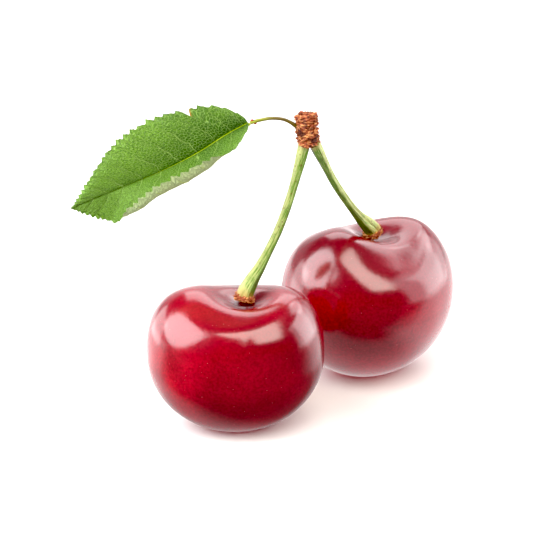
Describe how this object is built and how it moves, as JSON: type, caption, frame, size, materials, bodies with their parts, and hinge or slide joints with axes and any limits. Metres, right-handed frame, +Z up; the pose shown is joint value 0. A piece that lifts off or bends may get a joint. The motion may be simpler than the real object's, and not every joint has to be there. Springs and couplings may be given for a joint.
{
  "type": "pair of sweet cherries on a spur",
  "caption": "Sweet cherries joined by long stalks to one ringed woody spur that also carries a toothed leaf; the fruits rest on flat spots.",
  "frame": {"origin": "on the flat spot that the front cherry rests on", "axes": "+Z up from the surface; +X from the front cherry towards the rear cherry's side, with the leaf reaching out along -X; +Y from the front cherry towards the back"},
  "size_m": [0.0594, 0.0472, 0.0484],
  "materials": {
    "cherry_skin": "gloss",
    "green_stalk": "satin",
    "spur_bark": "matte",
    "leaf_stalk": "satin",
    "leaf_green": "satin"
  },
  "bodies": {
    "root": {"cherry_front": "cherry_skin", "cherry_rear": "cherry_skin", "stalk_front": "green_stalk", "stalk_rear": "green_stalk", "spur": "spur_bark", "leaf_stalk": "leaf_stalk", "leaf_blade": "leaf_green"}
  },
  "joints": []
}
